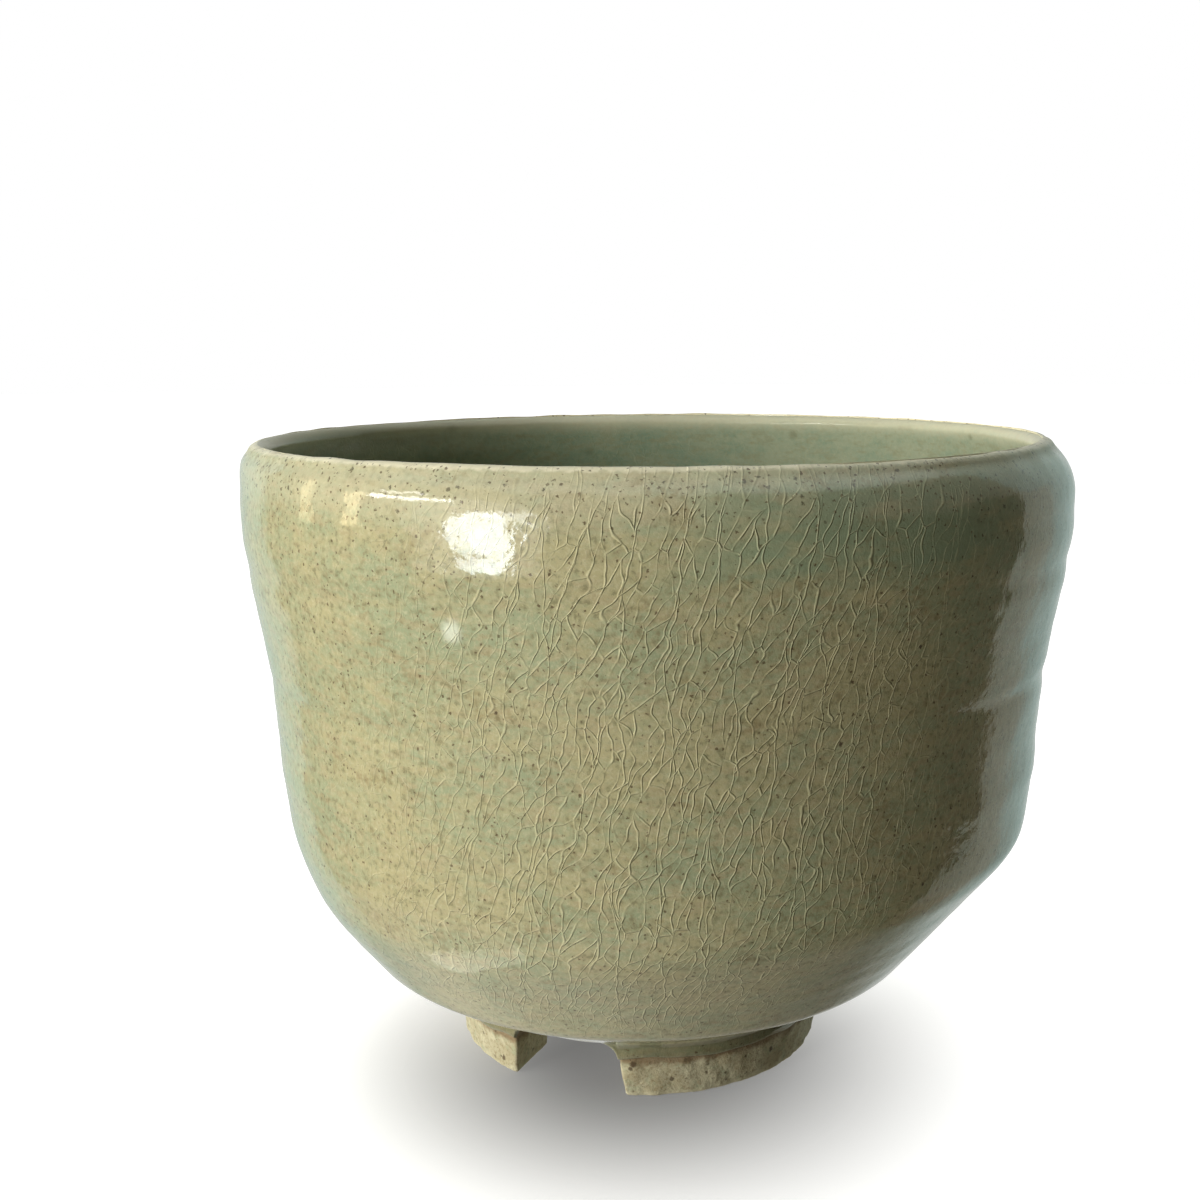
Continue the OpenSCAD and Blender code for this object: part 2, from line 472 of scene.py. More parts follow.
class Graph:
    """Short names for building a node tree."""

    def __init__(self, tree):
        self.tree = tree
        tree.nodes.clear()

    def add(self, kind, values=None, **settings):
        node = self.tree.nodes.new("ShaderNode" + kind)
        for key, value in settings.items():
            setattr(node, key, value)
        for key, value in (values or {}).items():
            self.put(node.inputs[key], value)
        return node

    def put(self, socket, value):
        if isinstance(value, bpy.types.NodeSocket):
            self.tree.links.new(value, socket)
        elif value is not None:
            socket.default_value = value

    def math(self, op, a, b=None, c=None):
        node = self.add("Math", operation=op)
        for socket, value in zip(node.inputs, (a, b, c)):
            self.put(socket, value)
        return node.outputs[0]

    def times(self, first, *others):
        for value in others:
            first = self.math("MULTIPLY", first, value)
        return first

    def total(self, first, *others):
        for value in others:
            first = self.math("ADD", first, value)
        return first

    def vec(self, op, a, b=None, scale=None):
        node = self.add("VectorMath", operation=op)
        self.put(node.inputs[0], a)
        if b is not None:
            self.put(node.inputs[1], b)
        if scale is not None:
            self.put(node.inputs["Scale"], scale)
        return node.outputs[0]

    def length(self, a):
        return self.add("VectorMath", {0: a}, operation="LENGTH").outputs["Value"]

    def toward(self, x, y, angle):
        """Distance of the place x, y from the axis, measured along a direction."""
        return self.total(self.times(x, math.cos(angle)), self.times(y, math.sin(angle)))

    def ramp(self, value, lo, hi, a=0.0, b=1.0, smooth=True):
        """a below lo, b above hi and a smooth change between; lo above hi turns it round."""
        values = {"Value": value, "From Min": lo, "From Max": hi, "To Min": a, "To Max": b}
        shape = "SMOOTHSTEP" if smooth else "LINEAR"
        return self.add("MapRange", values, interpolation_type=shape).outputs[0]

    def band(self, value, lo, hi, soft):
        """1 between lo and hi, falling to 0 over soft on both sides."""
        return self.times(self.ramp(value, lo - soft, lo), self.ramp(value, hi, hi + soft, 1.0, 0.0))

    def mix(self, factor, a, b):
        node = self.add("Mix", data_type="RGBA")
        self.put(node.inputs[0], factor)
        self.put(node.inputs[6], a)
        self.put(node.inputs[7], b)
        return node.outputs[2]

    def blend(self, factor, a, b):
        """Number between a and b."""
        return self.add("Mix", {0: factor, 2: a, 3: b}).outputs[0]

    def noise(self, where, scale, detail=2.0, rough=0.5):
        values = {"Vector": where, "Scale": scale, "Detail": detail, "Roughness": rough}
        return self.add("TexNoise", values).outputs[0]

    def cells(self, where, scale, feature="F1", dims="3D"):
        values = {"Vector": where, "Scale": scale}
        return self.add("TexVoronoi", values, feature=feature, voronoi_dimensions=dims)

    def bump(self, height, distance, strength=1.0):
        return self.add("Bump", {"Height": height, "Distance": distance, "Strength": strength}).outputs[0]

    def xyz(self, x, y, z):
        node = self.add("CombineXYZ")
        for socket, value in zip(node.inputs, (x, y, z)):
            self.put(socket, value)
        return node.outputs[0]

    def split(self, where):
        return self.add("SeparateXYZ", {"Vector": where}).outputs

    def millimetres(self):
        """Place on the piece in millimetres."""
        place = self.add("TexCoord").outputs["Object"]
        return self.vec("SCALE", place, scale=1 / MM)


def rgb(r, g, b):
    """Scene-linear colour from display values of 0 to 255."""
    def lin(v):
        v /= 255
        return v / 12.92 if v <= 0.04045 else ((v + 0.055) / 1.055) ** 2.4
    return (lin(r), lin(g), lin(b), 1.0)


def material(name):
    m = bpy.data.materials.new(name)
    m.use_nodes = True
    return m, Graph(m.node_tree)


# ---------------------------------------------------------------- patterns


def wall_distance(g, place, stretch, dims):
    """Distance from the nearest wall between cells that are stretch times longer along the last axis."""
    near = g.cells(place, 1.0, "F1", dims)
    far = g.cells(place, 1.0, "F2", dims)
    across = g.vec("SUBTRACT", far.outputs["Position"], near.outputs["Position"])
    squash = (1, 1 / stretch, 0) if dims == "2D" else (1, 1, 1 / stretch)
    length = g.length(g.vec("MULTIPLY", across, squash))
    far_square = g.math("POWER", far.outputs["Distance"], 2.0)
    near_square = g.math("POWER", near.outputs["Distance"], 2.0)
    return g.math("DIVIDE", g.math("SUBTRACT", far_square, near_square), g.times(length, 2.0))


def push_about(g, place, scale, detail, amount, dims):
    """A push by noise, of up to half of amount."""
    values = {"Vector": place, "Scale": scale, "Detail": detail, "Roughness": 0.6}
    push = g.add("TexNoise", values, noise_dimensions=dims).outputs["Color"]
    return g.vec("MULTIPLY", g.vec("SUBTRACT", push, (0.5, 0.5, 0.5)), amount)


def inner_crackle(g, place):
    """1 on the lines of the crackle inside."""
    cell, stretch, width = 3.0, 1.3, 0.17
    sway = push_about(g, place, 0.12, 1.0, (4.0, 4.0, 4.0), "3D")
    bend = push_about(g, place, 0.6, 2.0, (1.2, 1.2, 1.2), "3D")
    place = g.vec("ADD", place, g.vec("ADD", sway, bend))
    place = g.vec("MULTIPLY", place, (1 / cell, 1 / cell, 1 / (cell * stretch)))
    return g.ramp(g.times(wall_distance(g, place, stretch, "3D"), cell), 0.0, width, 1.0, 0.0)


# The surface outside is unrolled at this radius, and the two halves take their cells far apart
UNROLL_R = 58
HALVES_APART = 400


def half_crackle(g, x, y, z, half, cell, stretch, lean, sway, bend):
    """Distance in millimetres from the nearest line of a crackle outside, for the half at +X or -X."""
    radius = g.math("SQRT", g.total(g.times(x, x), g.times(y, y)))
    along = g.math("MULTIPLY_ADD", radius, 0.4, z)
    side = (1, -1)[half]
    angle = g.math("ARCTAN2", g.times(y, side), g.times(x, side))
    round_it = g.math("MULTIPLY_ADD", angle, UNROLL_R, HALVES_APART * half)
    place = g.xyz(g.math("MULTIPLY_ADD", along, lean, round_it), along, 0)
    slow_push = push_about(g, place, 0.06, 1.0, sway, "2D")
    quick_push = push_about(g, place, 0.24, 1.0, bend, "2D")
    place = g.vec("ADD", place, g.vec("ADD", slow_push, quick_push))
    place = g.vec("MULTIPLY", place, (1 / cell, 1 / (cell * stretch), 1))
    return g.times(wall_distance(g, place, stretch, "2D"), cell)


def outer_crackle(g, x, y, z, width, **shape):
    """1 on the lines of a crackle outside; its two halves meet at the far side of the bowl."""
    second = g.ramp(g.math("ARCTAN2", g.math("ABSOLUTE", y), x), 2.75, 2.95)
    gaps = [half_crackle(g, x, y, z, half, **shape) for half in (0, 1)]
    return g.ramp(g.blend(second, *gaps), 0.0, width, 1.0, 0.0)


def specks(g, p, cell, chance, size, soft):
    """Iron specks of up to size millimetres across, one to a cell at most: 1 on a speck."""
    place = g.vec("ADD", p, push_about(g, p, 3.6, 1.0, (0.5, 0.5, 0.5), "3D"))
    node = g.cells(place, 1 / cell)
    pick = g.split(node.outputs["Color"])[0]
    radius = g.ramp(pick, chance, 1.0, 0.0, size / 2 / cell, False)
    inside = g.times(radius, 1 - soft)
    return g.ramp(node.outputs["Distance"], inside, g.total(radius, 0.02), 1.0, 0.0)


# ---------------------------------------------------------------- materials

# What differs between the two coats: colours, how far grit and mottle show, how the crackle shows
OUTSIDE = {
    "beige": rgb(188, 180, 137), "celadon": rgb(164, 172, 136), "pink": rgb(182, 169, 131),
    "grit": 0.55, "mottle": 0.75, "line_colour": 0.52, "line_height": 0.095, "specular": 0.15,
}
INSIDE = {
    "beige": rgb(171, 179, 151), "celadon": rgb(147, 166, 142), "pink": rgb(160, 163, 134),
    "grit": 0.2, "mottle": 0.25, "line_colour": 0.1, "line_height": 0.03, "specular": 0.04,
}
# Pale colour at the lip: thin glaze, and painted light where the lip faces the light from above
PALE_LIP_AND_PAINTED_LIGHT = rgb(244, 236, 204)


def outside_tones(g, p, colour, noises):
    """What only the glaze outside has: places where it lies thick or thin, painted shade over the foot, a
    pale lip of thin glaze and painted light, a painted highlight on the shoulder, and iron.
    """
    x, y, z = g.split(p)
    # Darker where the glaze has run down on to the foot: painted shade under the bowl's overhang
    colour = g.mix(g.ramp(z, 9.6, 8.6, 0.0, 0.65), colour, rgb(104, 100, 72))
    # Paler under the lip: thinner glaze, lightened further as painted light from above
    colour = g.mix(g.ramp(z, 83, 88, 0.0, 0.4), colour, rgb(214, 208, 176))
    # Palest on the crest: thin glaze and painted light from above and behind
    uneven_z = g.math("MULTIPLY_ADD", g.noise(p, 0.9, 3.0), 0.8, z)
    colour = g.mix(g.ramp(uneven_z, 91.1, 91.6, 0.0, 0.9), colour, PALE_LIP_AND_PAINTED_LIGHT)

    # A greener run of thick glaze under the lip, towards the right
    right = g.toward(x, y, RIGHT_A)
    run = g.times(
        g.ramp(z, 76.5, 80), g.ramp(z, 88, 91, 1.0, 0.0),
        g.ramp(right, 47, 55, 1.0, 0.4), g.ramp(right, 12, 30),
        g.ramp(noises["streak"], 0.35, 0.55, 0.3, 0.75))
    colour = g.mix(run, colour, rgb(148, 166, 134))

    # Rusty stain round the clusters of iron specks
    cluster = g.noise(g.vec("MULTIPLY", p, (1, 1, 1.5)), 0.16, 3.0, 0.6)
    stain = g.times(g.ramp(cluster, 0.52, 0.68), g.ramp(g.noise(p, 0.9, 3.0, 0.65), 0.42, 0.62, 0.0, 0.42))
    colour = g.mix(stain, colour, rgb(138, 116, 76))

    # Small iron specks, many just under the lip, and a few large ones
    chance = g.math("SUBTRACT", g.ramp(cluster, 0.35, 0.6, 0.75, 0.0), g.times(g.ramp(z, 82, 87), 0.8))
    small = specks(g, p, 0.75, chance, 0.5, 0.5)
    colour = g.mix(g.times(small, 0.8), colour, rgb(84, 64, 38))
    rim = g.times(g.ramp(z, 82.5, 86), g.ramp(z, 90.6, 91.1, 0.75, 0.0))
    rim_specks = specks(g, p, 1.15, g.ramp(cluster, 0.4, 0.6, 0.75, 0.05), 0.8, 0.5)
    colour = g.mix(g.times(rim_specks, rim), colour, rgb(70, 62, 44))
    large = specks(g, p, 4.0, 0.5, 0.75, 0.5)
    colour = g.mix(g.times(large, 0.85), colour, rgb(66, 46, 28))

    # A painted highlight on the shoulder: a soft pale disc over one of the small bumps
    glint_at = (GLINT_R * math.cos(GLINT_A), GLINT_R * math.sin(GLINT_A), GLINT_Z)
    away = g.length(g.vec("SUBTRACT", p, glint_at))
    glint = g.ramp(g.math("MULTIPLY_ADD", noises["mottle"], 1.2, away), 1.1, 2.6, 0.75, 0.0)
    return g.mix(glint, colour, rgb(236, 242, 220))


def inside_tones(g, p, colour, noises):
    """What only the glaze inside has: painted shade on its left side, a pale lip of painted light and a few
    faint spots.
    """
    x, y, z = g.split(p)
    # Painted shade on the camera's left of the inside, where the window's light does not reach
    left = g.toward(x, y, VIEW_A + math.pi)
    colour = g.mix(g.ramp(left, 5, 50, 0.0, 0.5), colour, rgb(96, 96, 78))
    # Pale at the top of the inside: painted light where the lip's inner curve catches the light
    uneven_z = g.math("MULTIPLY_ADD", noises["broad"], 3.0, z)
    colour = g.mix(g.ramp(uneven_z, 89.2, 92.6, 0.0, 0.6), colour, PALE_LIP_AND_PAINTED_LIGHT)
    spots = specks(g, p, 6.0, 0.3, 3.2, 0.95)
    return g.mix(g.times(spots, 0.4), colour, rgb(112, 108, 76))


def outside_lines(g, p, broken):
    """Crackle outside: a broken fine net between a few long lines, fainter at both sides and low down."""
    x, y, z = g.split(p)
    fine = outer_crackle(
        g, x, y, z, 0.165, cell=1.65, stretch=2.7, lean=-0.33, sway=(5.5, 3.0, 0), bend=(1.9, 1.5, 0))
    long = outer_crackle(
        g, x, y, z, 0.14, cell=5.2, stretch=6.0, lean=-0.15, sway=(4.0, 2.0, 0), bend=(1.5, 0.8, 0))
    line = g.math("MAXIMUM", g.times(fine, broken), g.times(long, 0.75))
    return g.times(
        line, g.ramp(g.toward(x, y, FAINT_A), 51, 59, 1.0, 0.35),
        g.ramp(g.toward(x, y, RIGHT_A), 42, 53, 1.0, 0.45), g.ramp(z, 15, 25, 0.15, 1.0))


def inside_lines(g, p, broken):
    """Crackle inside: one broken net."""
    return g.times(inner_crackle(g, p), broken)


def glaze(name, coat, tones, lines):
    """Crackled celadon over iron-bearing clay, under a clear glassy skin."""
    m, g = material(name)
    p = g.millimetres()
    z = g.split(p)[2]
    flat = g.vec("MULTIPLY", p, (1, 1, 2.8))
    broad = g.noise(g.vec("MULTIPLY", p, (1, 1, 1.5)), 0.04, 2.0, 0.55)
    streak = g.noise(flat, 0.13, 4.0, 0.62)
    mottle = g.noise(g.vec("MULTIPLY", p, (1, 1, 1.6)), 0.6, 3.0, 0.65)
    grit = g.noise(p, 2.6, 2.0, 0.6)

    # Green where the glaze lies thick, beige where it is thin
    thick = g.math("MULTIPLY_ADD", mottle, 0.6, g.total(g.times(broad, 0.9), g.times(streak, 0.9)))
    colour = g.mix(g.ramp(thick, 1.0, 1.42), coat["beige"], coat["celadon"])
    colour = g.mix(g.ramp(g.noise(flat, 0.3, 3.0, 0.6), 0.48, 0.66, 0.0, 0.75), colour, coat["pink"])
    colour = g.mix(g.ramp(grit, 0.42, 0.7, 0.0, coat["grit"]), colour, rgb(212, 206, 168))
    dark = g.ramp(g.noise(p, 1.3, 3.0, 0.7), 0.48, 0.7, 0.0, coat["mottle"])
    colour = g.mix(dark, colour, rgb(128, 124, 88))
    colour = tones(g, p, colour, {"broad": broad, "streak": streak, "mottle": mottle})

    # Crackle is relief with pale lines in it
    broken = g.ramp(g.noise(p, 0.35, 2.0), 0.38, 0.58, 0.2, 1.0)
    line = g.times(lines(g, p, broken), g.ramp(z, 86, 89, 1.0, 0.3))
    colour = g.mix(g.times(line, coat["line_colour"]), colour, rgb(212, 208, 166))
    relief = g.bump(g.total(g.times(grit, 0.05), g.times(line, coat["line_height"])), MM)
    ripple = g.bump(g.noise(p, 0.4, 3.0, 0.5), 0.08 * MM)
    shader = g.add("BsdfPrincipled", {
        "Base Color": colour, "Roughness": g.ramp(mottle, 0.3, 0.7, 0.45, 0.6), "Normal": relief,
        "Specular IOR Level": coat["specular"], "Coat Weight": g.ramp(z, 89.2, 90.8, 1.0, 0.4),
        "Coat Roughness": 0.085, "Coat IOR": 1.5, "Coat Normal": ripple})
    g.put(g.add("OutputMaterial").inputs["Surface"], shader.outputs[0])
    return m


def clay(name):
    """Bare stoneware: buff, speckled with iron, matt."""
    m, g = material(name)
    p = g.millimetres()
    z = g.split(p)[2]
    blotch = g.noise(p, 0.22, 3.0, 0.6)
    colour = g.mix(g.ramp(blotch, 0.35, 0.65), rgb(210, 204, 172), rgb(187, 177, 143))
    colour = g.mix(g.ramp(g.noise(p, 0.5, 3.0, 0.6), 0.5, 0.7, 0.0, 0.6), colour, rgb(170, 176, 142))
    colour = g.mix(g.ramp(g.noise(p, 1.8, 3.0, 0.65), 0.46, 0.7, 0.0, 0.55), colour, rgb(140, 118, 82))
    # Iron drawn out along the edge of the glaze
    uneven_z = g.math("MULTIPLY_ADD", g.noise(p, 0.4, 3.0, 0.6), 2.4, z)
    stain = g.times(g.ramp(uneven_z, 5.7, 6.9), g.ramp(z, 8.2, 8.6, 1.0, 0.0))
    colour = g.mix(g.times(stain, 0.7), colour, rgb(118, 86, 48))
    # Iron specks, small and large
    colour = g.mix(g.times(specks(g, p, 1.1, 0.3, 0.8, 0.7), 0.75), colour, rgb(78, 60, 36))
    colour = g.mix(g.times(specks(g, p, 2.6, 0.35, 1.3, 0.5), 0.8), colour, rgb(72, 52, 30))
    # Worn and pale along the edge that the bowl stands on
    worn = g.ramp(g.math("MULTIPLY_ADD", g.noise(p, 0.3, 2.0), 0.8, z), 0.6, 1.3, 1.0, 0.0)
    colour = g.mix(g.times(worn, 0.6), colour, rgb(222, 214, 180))
    height = g.total(g.times(g.noise(p, 1.2, 4.0, 0.7), 0.22), g.times(blotch, 0.2))
    shader = g.add("BsdfPrincipled", {
        "Base Color": colour, "Roughness": g.ramp(blotch, 0.3, 0.7, 0.72, 0.9),
        "Normal": g.bump(height, MM, 0.8)})
    g.put(g.add("OutputMaterial").inputs["Surface"], shader.outputs[0])
    return m


outer_look = glaze("celadon_outside", OUTSIDE, outside_tones, outside_lines)
inner_look = glaze("celadon_inside", INSIDE, inside_tones, inside_lines)
clay_look = clay("bare_stoneware")

# ---------------------------------------------------------------- glaze coats

# How far the hidden back of a coat lies behind its true surface
BACK_DEPTH = 0.5

COLUMNS = 500
OUTER_ROWS = 178
OUTER_BACK_ROWS = 21
# Distance from the glaze's lower edge, step between rows there
OUTER_ZONES = [(0, 0.12), (0.9, 0.14), (2.5, 0.5), (6, 0.68), (106, 0.68), (112, 0.3), (116, 0.16)]
# The glaze's lower edge is rounded over this height, under a bead of glaze
EDGE_ROUND = 0.55
BEAD = 0.16
BEAD_RISE = 0.9
BEAD_HALF = 0.6

INNER_COLUMNS = 400
INNER_SAMPLES = 3000
INNER_ROWS = 190
INNER_BACK_ROWS = 40
# Distance from the lip's crest, step between rows there
INNER_ZONES = [(0, 0.16), (5, 0.35), (10, 0.62), (150, 0.62)]
# The inside is a fan of triangles within this radius
POLE_R = 0.4

inner_samples = resample(inner_line[:-1], INNER_SAMPLES)
inner_length = np.linalg.norm(np.diff(inner_samples, axis=0), axis=1).sum()
inner_share = row_spacing(inner_length, INNER_ZONES, INNER_ROWS)
inner_rows = points_at(inner_samples, np.linspace(0, 1, INNER_SAMPLES), inner_share)
inner_rows = inner_rows[inner_rows[:, 0] > POLE_R]
inner_r, inner_z = inner_rows[:, :1], inner_rows[:, 1:]
inner_run = (inner_share[: len(inner_rows)] * inner_length)[:, None]


def outer_coat():
    """The coat outside, from its wavering lower edge to the crest of the lip."""
    theta = column_angles(COLUMNS)
    base = outside_grid(theta, row_spacing(OUTSIDE_LENGTH, OUTER_ZONES, OUTER_ROWS))
    normal = normals_of(base)
    height = base[..., 2]
    offset = outside_offset(theta[None, :], height)
    low = glaze_edge_z(theta)[None, :]
    above = np.clip((height - low) / EDGE_ROUND, 0, 1)
    bead = GLAZE_T * (np.sqrt(1 - (1 - above) ** 2) - 1)
    swell = np.exp(-(((height - low - BEAD_RISE) / BEAD_HALF) ** 2))
    bead += BEAD * swell * (0.6 + 0.6 * edge_wave(theta[None, :] + 1, 0))
    skin = base + (offset + bead)[..., None] * normal
    skin[..., :2] += lip_shift(height)
    rows = every(OUTER_ROWS - 1, 0, OUTER_BACK_ROWS)
    back = base[rows] - BACK_DEPTH * normal[rows]
    back += np.minimum(offset, 0)[rows][..., None] * normal[rows]
    back[..., :2] += lip_shift(height[rows])
    ring = np.concatenate([skin, back])
    faces = strip_faces(len(ring), COLUMNS) + join_faces((len(ring) - 1) * COLUMNS, 0, COLUMNS)
    piece("outer_coat", ring.reshape(-1, 3), faces, outer_look, "outer_glaze")


def inner_coat():
    """The coat inside, from the crest of the lip to the middle of the floor."""
    cols = INNER_COLUMNS
    theta = np.linspace(0, FULL_TURN, cols, endpoint=False)
    grid = polar(inner_r, theta, inner_z)
    normal = normals_of(grid)
    spiral = SPIRAL * np.sin(FULL_TURN * inner_run / SPIRAL_PITCH + theta)
    spiral = spiral * (0.7 + 0.5 * finger(theta, inner_run))
    fade = smoothstep(4, 16, inner_run) * (1 - smoothstep(inner_length - 8, inner_length - 1, inner_run))
    bumps = fade * (spiral + LUMPS * lumps(theta, inner_run))
    skin = grid + bumps[..., None] * normal
    skin[..., :2] += lip_shift(grid[..., 2])
    rows = every(len(grid) - 1, 0, INNER_BACK_ROWS)
    back = grid[rows] - BACK_DEPTH * normal[rows]
    back[..., :2] += lip_shift(grid[rows][..., 2])
    points = np.concatenate([skin, back]).reshape(-1, 3)
    skin_pole, back_pole = len(points), len(points) + 1
    points = np.vstack([points, [[0, 0, FLOOR_Z]], [[0, 0, FLOOR_Z - BACK_DEPTH]]])
    first_back = len(skin) * cols
    faces = strip_faces(len(skin), cols) + strip_faces(len(back), cols, first_back)
    faces += join_faces(skin_pole - cols, 0, cols)
    faces += fan(first_back - cols, cols, skin_pole, True) + fan(first_back, cols, back_pole, False)
    piece("inner_coat", points, faces, inner_look, "inner_glaze")


# ---------------------------------------------------------------- clay body

BODY_COLUMNS = 240
BODY_ROWS = 90
BODY_INNER_ROWS = 60
BODY_ZONES = [(0, 0.5), (4, 1.4), (108, 1.4), (116, 0.5)]
# The clay starts this far behind the surface of the glaze, so that the two just meet
CLAY_DEPTH = GLAZE_T - 0.02
# Rows nearer the top of the foot than this are left out
NECK_GAP = 0.4

# The recess under the bowl: a disc with the spiral that the trimming left, and a small boss in its middle
RECESS_R = (0.6, 27.6)
RECESS_ROWS = 60
RECESS_SPIRAL = 0.10
RECESS_PITCH = 3.1
BOSS = 0.15
BOSS_R = 6


def clay_body():
    """The thrown clay between the coats, with its trimmed underside and the recess in the foot."""
    theta = column_angles(BODY_COLUMNS)
    outside = outside_grid(theta, row_spacing(OUTSIDE_LENGTH, BODY_ZONES, BODY_ROWS))
    outside = outside - CLAY_DEPTH * normals_of(outside)
    outside = outside[outside[..., 2].min(1) > foot_top + NECK_GAP]
    outside[..., :2] += lip_shift(outside[..., 2])
    r = np.linspace(*RECESS_R, RECESS_ROWS)[:, None]
    mark = RECESS_SPIRAL * np.sin(FULL_TURN * (r / RECESS_PITCH + theta / FULL_TURN))
    mark = mark * smoothstep(1, 5, r) * (1 - smoothstep(18, 20, r))
    recess = polar(r, theta, foot_top + mark + BOSS * (1 - smoothstep(0, BOSS_R, r)))
    recess[..., :2] += TRIM_SHIFT
    rows = every(0, len(inner_rows) - 1, BODY_INNER_ROWS)
    inside = polar(inner_r[rows], theta, inner_z[rows])
    inside = inside - CLAY_DEPTH * normals_of(inside)
    inside[..., :2] += lip_shift(inside[..., 2])
    capped_piece(
        "clay_body", np.concatenate([recess, outside, inside]), [*TRIM_SHIFT, foot_top + BOSS],
        [0, 0, FLOOR_Z - GLAZE_T], clay_look, "bowl_body")


# ---------------------------------------------------------------- foot segments

# The foot reaches this far into the body
FOOT_LAP = 0.35
FOOT_INNER_DRAFT = 0.6
FOOT_SECTION_POINTS = 130
FOOT_STEPS = 150
# Edges round the ends of a segment, and how far the rings inside them shrink towards the middle
END_ROUND = 0.5
END_ROUND_STEPS = 7
END_SHRINKS = (0.97, 0.75, 0.5, 0.28, 0.12)
# The notches are wider by this much on each side at the table
NOTCH_WEAR = 0.5


def foot_section():
    """Closed line round the section of the foot ring, as radius and height."""
    up = foot_top + FOOT_LAP
    outer_top = (FOOT_OUT_R + (NECK[0] - FOOT_OUT_R) / NECK[1] * up, up)
    outer_foot, inner_foot = (FOOT_OUT_R, 0), (FOOT_IN_R, 0)
    inner_r_top = FOOT_IN_R - FOOT_INNER_DRAFT
    fillet = corner(inner_foot, (inner_r_top, foot_top), (0, foot_top), 2.4, 12)
    line = np.vstack([
        [outer_top],
        corner(outer_top, outer_foot, inner_foot, 0.55, 8),
        corner(outer_foot, inner_foot, (inner_r_top, up), 0.5, 8),
        fillet,
        [(fillet[-1][0], up)],
        [outer_top],
    ])
    return resample(line, FOOT_SECTION_POINTS + 1)[:-1]


def end_rings(section):
    """Rings that close the end of a segment, from the middle out: radii, heights, angles from the notch."""
    tangent = np.roll(section, -1, 0) - np.roll(section, 1, 0)
    tangent /= np.linalg.norm(tangent, axis=1)[:, None]
    into = np.stack([-tangent[:, 1], tangent[:, 0]], 1)
    middle = section.mean(0)
    if ((middle - section) * into).sum() < 0:
        into = -into
    stations = [(0.0, END_ROUND, shrink) for shrink in END_SHRINKS]
    stations += [
        (END_ROUND * (1 - math.cos(q)), END_ROUND * (1 - math.sin(q)), 0.0)
        for q in np.linspace(0, math.pi / 2, END_ROUND_STEPS)
    ]
    rings = []
    for behind, tuck, shrink in stations:
        r, z = (middle + (section + into * tuck - middle) * (1 - shrink)).T
        over = np.clip(z - (foot_top - NOTCH_ROUND), 0, NOTCH_ROUND)
        half = NOTCH_HALF - NOTCH_ROUND + np.sqrt(NOTCH_ROUND**2 - over**2)
        half = half + behind + NOTCH_WEAR * smoothstep(5, 0, z)
        rings.append((r, z, np.arcsin(np.clip(half / r, -1, 1))))
    return rings


def foot_segment(name, side, seed, node):
    """Half of the notched foot ring; side is -1 towards -X."""
    ends = end_rings(foot_section())
    r, z, gap = ends[-1]
    start, stop = -math.pi / 2 + gap, math.pi / 2 - gap
    rings = [(end_r, end_z, -math.pi / 2 + a) for end_r, end_z, a in ends]
    rings += [(r, z, start + (stop - start) * (k / FOOT_STEPS)) for k in range(1, FOOT_STEPS)]
    rings += [(end_r, end_z, math.pi / 2 - a) for end_r, end_z, a in reversed(ends)]
    rows = np.array([np.stack([r * np.cos(a), r * np.sin(a), z], 1) for r, z, a in rings])

    # Knife and hand marks
    broad = wobble(60, 1.2, 60, seed)
    small = wobble(160, 3.0, 80, seed + 1)
    x, y, z = rows[..., 0], rows[..., 1], rows[..., 2]
    a = np.arctan2(y, x)
    push = 0.10 * broad(a, z + x * 0.35) + 0.05 * small(a, z * 1.3)
    push = push * np.where(np.hypot(x, y) > (FOOT_OUT_R + FOOT_IN_R) / 2, 1, -1)
    rows[..., 0] += push * np.cos(a)
    rows[..., 1] += push * np.sin(a)

    rows[..., 0] *= side
    rows[..., 2] = np.maximum(rows[..., 2], 0)
    rows[..., :2] += TRIM_SHIFT
    capped_piece(name, rows, rows[0].mean(0), rows[-1].mean(0), clay_look, node)


outer_coat()
inner_coat()
clay_body()
foot_segment("foot_ring_left", -1, 21, "foot_left")
foot_segment("foot_ring_right", 1, 31, "foot_right")

# ---------------------------------------------------------------- camera

# Place of the camera in millimetres before it is turned to its side of the bowl, and its turns
CAMERA_AT = (-0.92, -226.6, 105.9)
CAMERA_TURN = math.radians(1.807)
CAMERA_TILT = math.radians(80.12)
CAMERA_ROLL = math.radians(-0.50)

camera_data = bpy.data.cameras.new("camera")
camera_data.lens = 45.57
camera_data.sensor_width = 36
camera_data.clip_start = 0.01
camera = bpy.data.objects.new("camera", camera_data)
camera.matrix_world = (
    Matrix.Rotation(VIEW_A, 4, "Z")
    @ Matrix.Translation([v * MM for v in CAMERA_AT])
    @ Matrix.Rotation(CAMERA_TURN, 4, "Z")
    @ Matrix.Rotation(CAMERA_TILT, 4, "X")
    @ Matrix.Rotation(CAMERA_ROLL, 4, "Z")
)
bpy.context.scene.collection.objects.link(camera)
bpy.context.scene.camera = camera

# ---------------------------------------------------------------- floor

FLOOR_R = 3.0
FLOOR_CORNERS = 96
FLOOR_GLOW = 1.0
# Middle of the shade under the bowl, to the camera's right and away from the camera
SHADE_AT = (-3, -15, 0)


